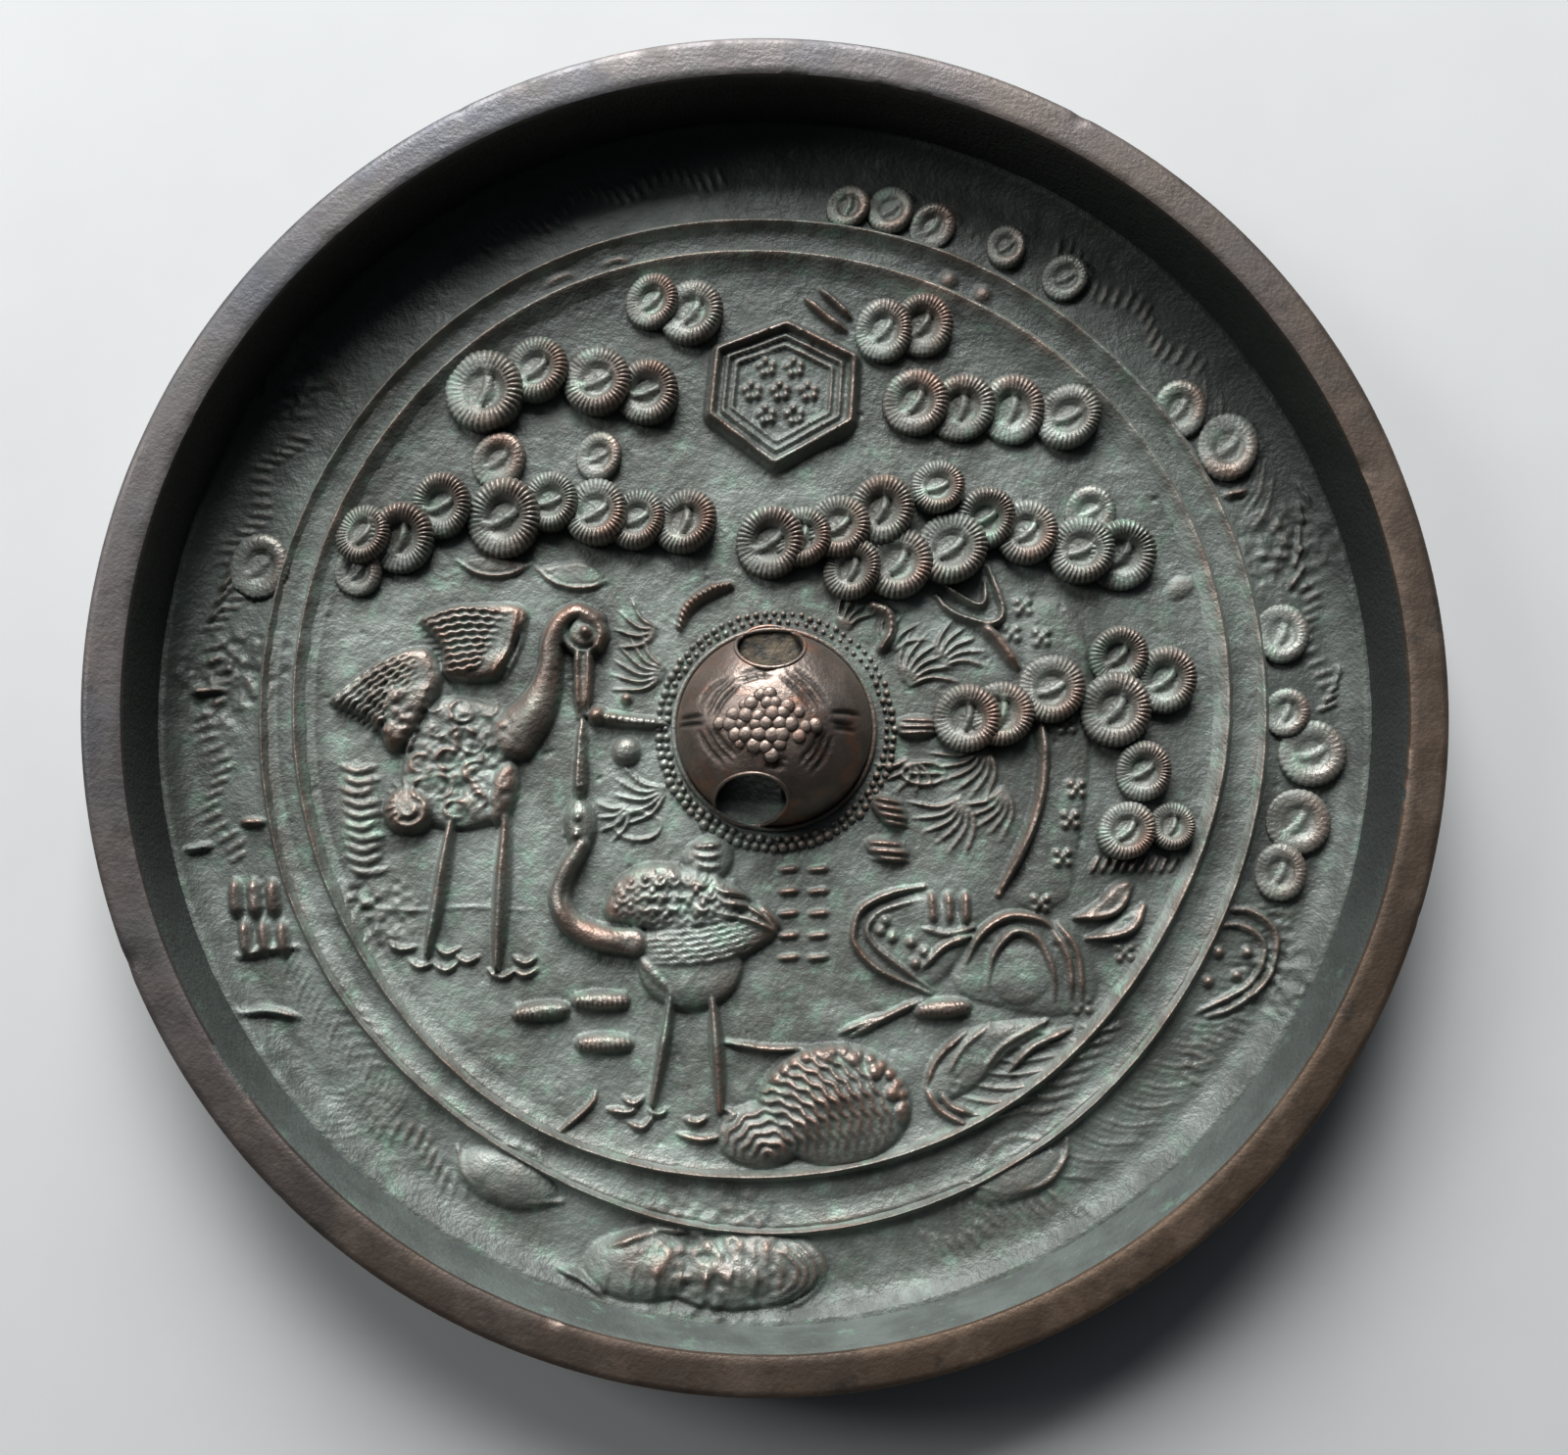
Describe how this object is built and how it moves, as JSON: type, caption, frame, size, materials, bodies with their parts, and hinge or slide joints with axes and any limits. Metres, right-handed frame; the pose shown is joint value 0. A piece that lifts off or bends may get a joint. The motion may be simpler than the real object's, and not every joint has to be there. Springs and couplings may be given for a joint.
{
  "type": "ancient bronze mirror",
  "caption": "Round cast bronze hand mirror, decorated back up: high rim, pierced tortoise knob, pines, cranes and shore in relief; polished flat face below.",
  "frame": {"origin": "centre of the flat reflecting face, which is the underside as the mirror lies", "axes": "+Z out of the decorated back, square to the reflecting face; +Y to the top of the picture; +X to its right"},
  "size_m": [0.112, 0.112, 0.0115],
  "materials": {
    "bronze": "dark patinated bronze, brown on worn edges, grey-green in the field"
  },
  "bodies": {
    "root": {"mirror": "bronze"}
  },
  "joints": []
}
